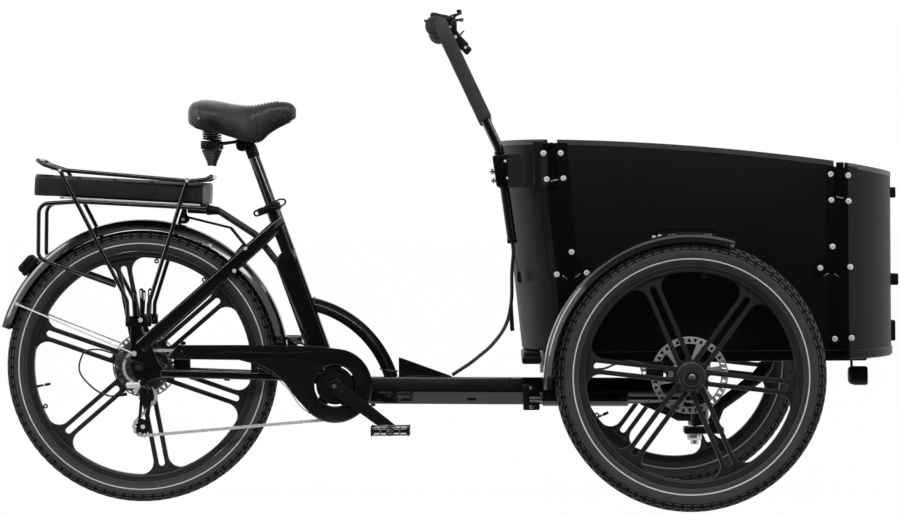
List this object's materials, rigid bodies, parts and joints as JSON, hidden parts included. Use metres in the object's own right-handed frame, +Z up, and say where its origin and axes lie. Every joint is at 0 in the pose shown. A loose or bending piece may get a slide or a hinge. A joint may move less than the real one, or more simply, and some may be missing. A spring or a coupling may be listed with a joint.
{
  "type": "cargo bike",
  "caption": "Rear-driven electric cargo tricycle: a bicycle rear half carries an open four-panel cargo box on a steered two-wheel carriage, with hoop handlebar, rack and chain drive.",
  "frame": {"origin": "on the floor, below the centre of the whole bike's length and width", "axes": "+X forward, +Y to the rider's left, +Z up"},
  "size_m": [2.1764, 0.878, 1.186],
  "materials": {
    "gloss_black_paint": "gloss",
    "satin_black_metal": "satin",
    "black_panel": "satin",
    "dark_wheel_alloy": "satin",
    "tyre_rubber": "matte",
    "bright_steel": "bright",
    "black_plastic": "matte",
    "saddle_vinyl": "satin",
    "bar_foam": "matte",
    "red_lens": "gloss"
  },
  "bodies": {
    "rear_frame": {"main_frame": "gloss_black_paint", "seat_tube": "gloss_black_paint", "seat_stays": "gloss_black_paint", "chainstay_right": "gloss_black_paint", "chainstay_left": "gloss_black_paint", "rear_axle": "bright_steel", "seat_collar": "satin_black_metal", "rear_rack": "gloss_black_paint", "battery_dock": "satin_black_metal", "battery_cable": "black_plastic", "rear_fender": "black_plastic", "rear_light": "red_lens", "derailleur": "satin_black_metal", "chain": "bright_steel", "chain_guard": "black_plastic", "steering_damper": "satin_black_metal"},
    "clamp_lever": {"clamp_lever": "satin_black_metal"},
    "seatpost": {"seatpost": "gloss_black_paint", "saddle_frame": "satin_black_metal", "saddle_spring_right": "bright_steel", "saddle_spring_left": "bright_steel"},
    "saddle": {"saddle": "saddle_vinyl"},
    "battery": {"battery": "black_plastic"},
    "rear_wheel": {"rear_wheel": "dark_wheel_alloy", "rear_tyre": "tyre_rubber"},
    "cassette": {"cassette": "satin_black_metal"},
    "guide_pulley": {"guide_pulley": "black_plastic"},
    "tension_pulley": {"tension_pulley": "black_plastic"},
    "cranks": {"crank_right": "satin_black_metal", "crank_left": "satin_black_metal"},
    "pedal_right": {"pedal_right": "black_plastic"},
    "pedal_left": {"pedal_left": "black_plastic"},
    "damper_rod": {"damper_rod": "bright_steel"},
    "carriage": {"carriage_frame": "gloss_black_paint", "lower_yoke": "gloss_black_paint", "kingpin": "bright_steel", "box_floor": "black_panel", "side_panel_right": "black_panel", "side_panel_left": "black_panel", "rear_panel": "black_panel", "front_panel": "black_panel", "rear_corner_right": "satin_black_metal", "rear_corner_left": "satin_black_metal", "front_corner_right": "satin_black_metal", "front_corner_left": "satin_black_metal", "front_fender_right": "black_plastic", "front_fender_left": "black_plastic", "front_caliper_right": "satin_black_metal", "front_caliper_left": "satin_black_metal", "headlight": "black_plastic", "cable_loom": "black_plastic"},
    "front_wheel_right": {"front_wheel_right": "dark_wheel_alloy", "front_tyre_right": "tyre_rubber"},
    "front_wheel_left": {"front_wheel_left": "dark_wheel_alloy", "front_tyre_left": "tyre_rubber"},
    "handlebar": {"handlebar": "gloss_black_paint", "bar_sleeve_right": "bar_foam", "bar_sleeve_left": "bar_foam"},
    "brake_lever_right": {"brake_lever_right": "satin_black_metal"},
    "brake_lever_left": {"brake_lever_left": "satin_black_metal"}
  },
  "joints": [
    {"name": "steering", "type": "hinge", "parent": "rear_frame", "child": "carriage", "pos_m": [0.6042, 0, 0.318], "axis": [0, 0, 1], "range_deg": [-30, 30]},
    {"name": "damper_slide", "type": "slide", "parent": "rear_frame", "child": "damper_rod", "axis": [0.9893, -0.1462, 0], "range_m": [-0.062, 0.062]},
    {"name": "rear_wheel_spin", "type": "hinge", "parent": "rear_frame", "child": "rear_wheel", "pos_m": [-0.7468, 0, 0.3335], "axis": [0, 1, 0], "continuous": true},
    {"name": "front_wheel_right_spin", "type": "hinge", "parent": "carriage", "child": "front_wheel_right", "pos_m": [0.5652, -0.385, 0.318], "axis": [0, 1, 0], "continuous": true},
    {"name": "front_wheel_left_spin", "type": "hinge", "parent": "carriage", "child": "front_wheel_left", "pos_m": [0.5652, 0.385, 0.318], "axis": [0, 1, 0], "continuous": true},
    {"name": "crank_spin", "type": "hinge", "parent": "rear_frame", "child": "cranks", "pos_m": [-0.2758, 0, 0.285], "axis": [0, 1, 0], "continuous": true},
    {"name": "cassette_spin", "type": "hinge", "parent": "rear_frame", "child": "cassette", "pos_m": [-0.7468, -0.052, 0.3335], "axis": [0, 1, 0], "continuous": true},
    {"name": "guide_pulley_spin", "type": "hinge", "parent": "rear_frame", "child": "guide_pulley", "pos_m": [-0.7328, -0.052, 0.262], "axis": [0, 1, 0], "continuous": true},
    {"name": "tension_pulley_spin", "type": "hinge", "parent": "rear_frame", "child": "tension_pulley", "pos_m": [-0.7418, -0.052, 0.189], "axis": [0, 1, 0], "continuous": true},
    {"name": "pedal_right_spin", "type": "hinge", "parent": "cranks", "child": "pedal_right", "pos_m": [-0.14014, -0.09, 0.1809], "axis": [0, 1, 0], "continuous": true},
    {"name": "pedal_left_spin", "type": "hinge", "parent": "cranks", "child": "pedal_left", "pos_m": [-0.41146, 0.09, 0.3891], "axis": [0, 1, 0], "continuous": true},
    {"name": "clamp_lever_turn", "type": "hinge", "parent": "rear_frame", "child": "clamp_lever", "pos_m": [-0.45354, -0.0255, 0.70692], "axis": [0.3322, 0, -0.9432], "range_deg": [0, 150]},
    {"name": "seatpost_slide", "type": "slide", "parent": "rear_frame", "child": "seatpost", "axis": [-0.3322, 0, 0.9432], "range_m": [-0.015, 0.06]},
    {"name": "saddle_bounce", "type": "hinge", "parent": "seatpost", "child": "saddle", "pos_m": [-0.4068, 0, 0.93], "axis": [0, -1, 0], "range_deg": [0, 3.5], "stiffness_Nm_per_rad": 440, "springref_deg": -1.15, "deforming": ["saddle_spring_right", "saddle_spring_left"]},
    {"name": "battery_slide", "type": "slide", "parent": "rear_frame", "child": "battery", "axis": [-0.9981, 0, 0.061], "range_m": [0, 0.4]},
    {"name": "handlebar_slide", "type": "slide", "parent": "carriage", "child": "handlebar", "axis": [-0.134, 0, 0.991], "range_m": [0, 0.1]},
    {"name": "brake_lever_right_pull", "type": "hinge", "parent": "handlebar", "child": "brake_lever_right", "pos_m": [0.0171, -0.1, 1.1707], "axis": [0.54, 0, -0.8417], "range_deg": [0, 14], "stiffness_Nm_per_rad": 0.5, "springref_deg": -17.19},
    {"name": "brake_lever_left_pull", "type": "hinge", "parent": "handlebar", "child": "brake_lever_left", "pos_m": [0.0171, 0.1, 1.1707], "axis": [-0.54, 0, 0.8417], "range_deg": [0, 14], "stiffness_Nm_per_rad": 0.5, "springref_deg": -17.19}
  ],
  "couplings": [
    {"joint": "damper_slide", "follows": "steering", "m_per_rad": 0.114},
    {"joint": "cassette_spin", "follows": "crank_spin", "ratio": 2},
    {"joint": "guide_pulley_spin", "follows": "crank_spin", "ratio": -3.6364},
    {"joint": "tension_pulley_spin", "follows": "crank_spin", "ratio": 3.6364}
  ]
}
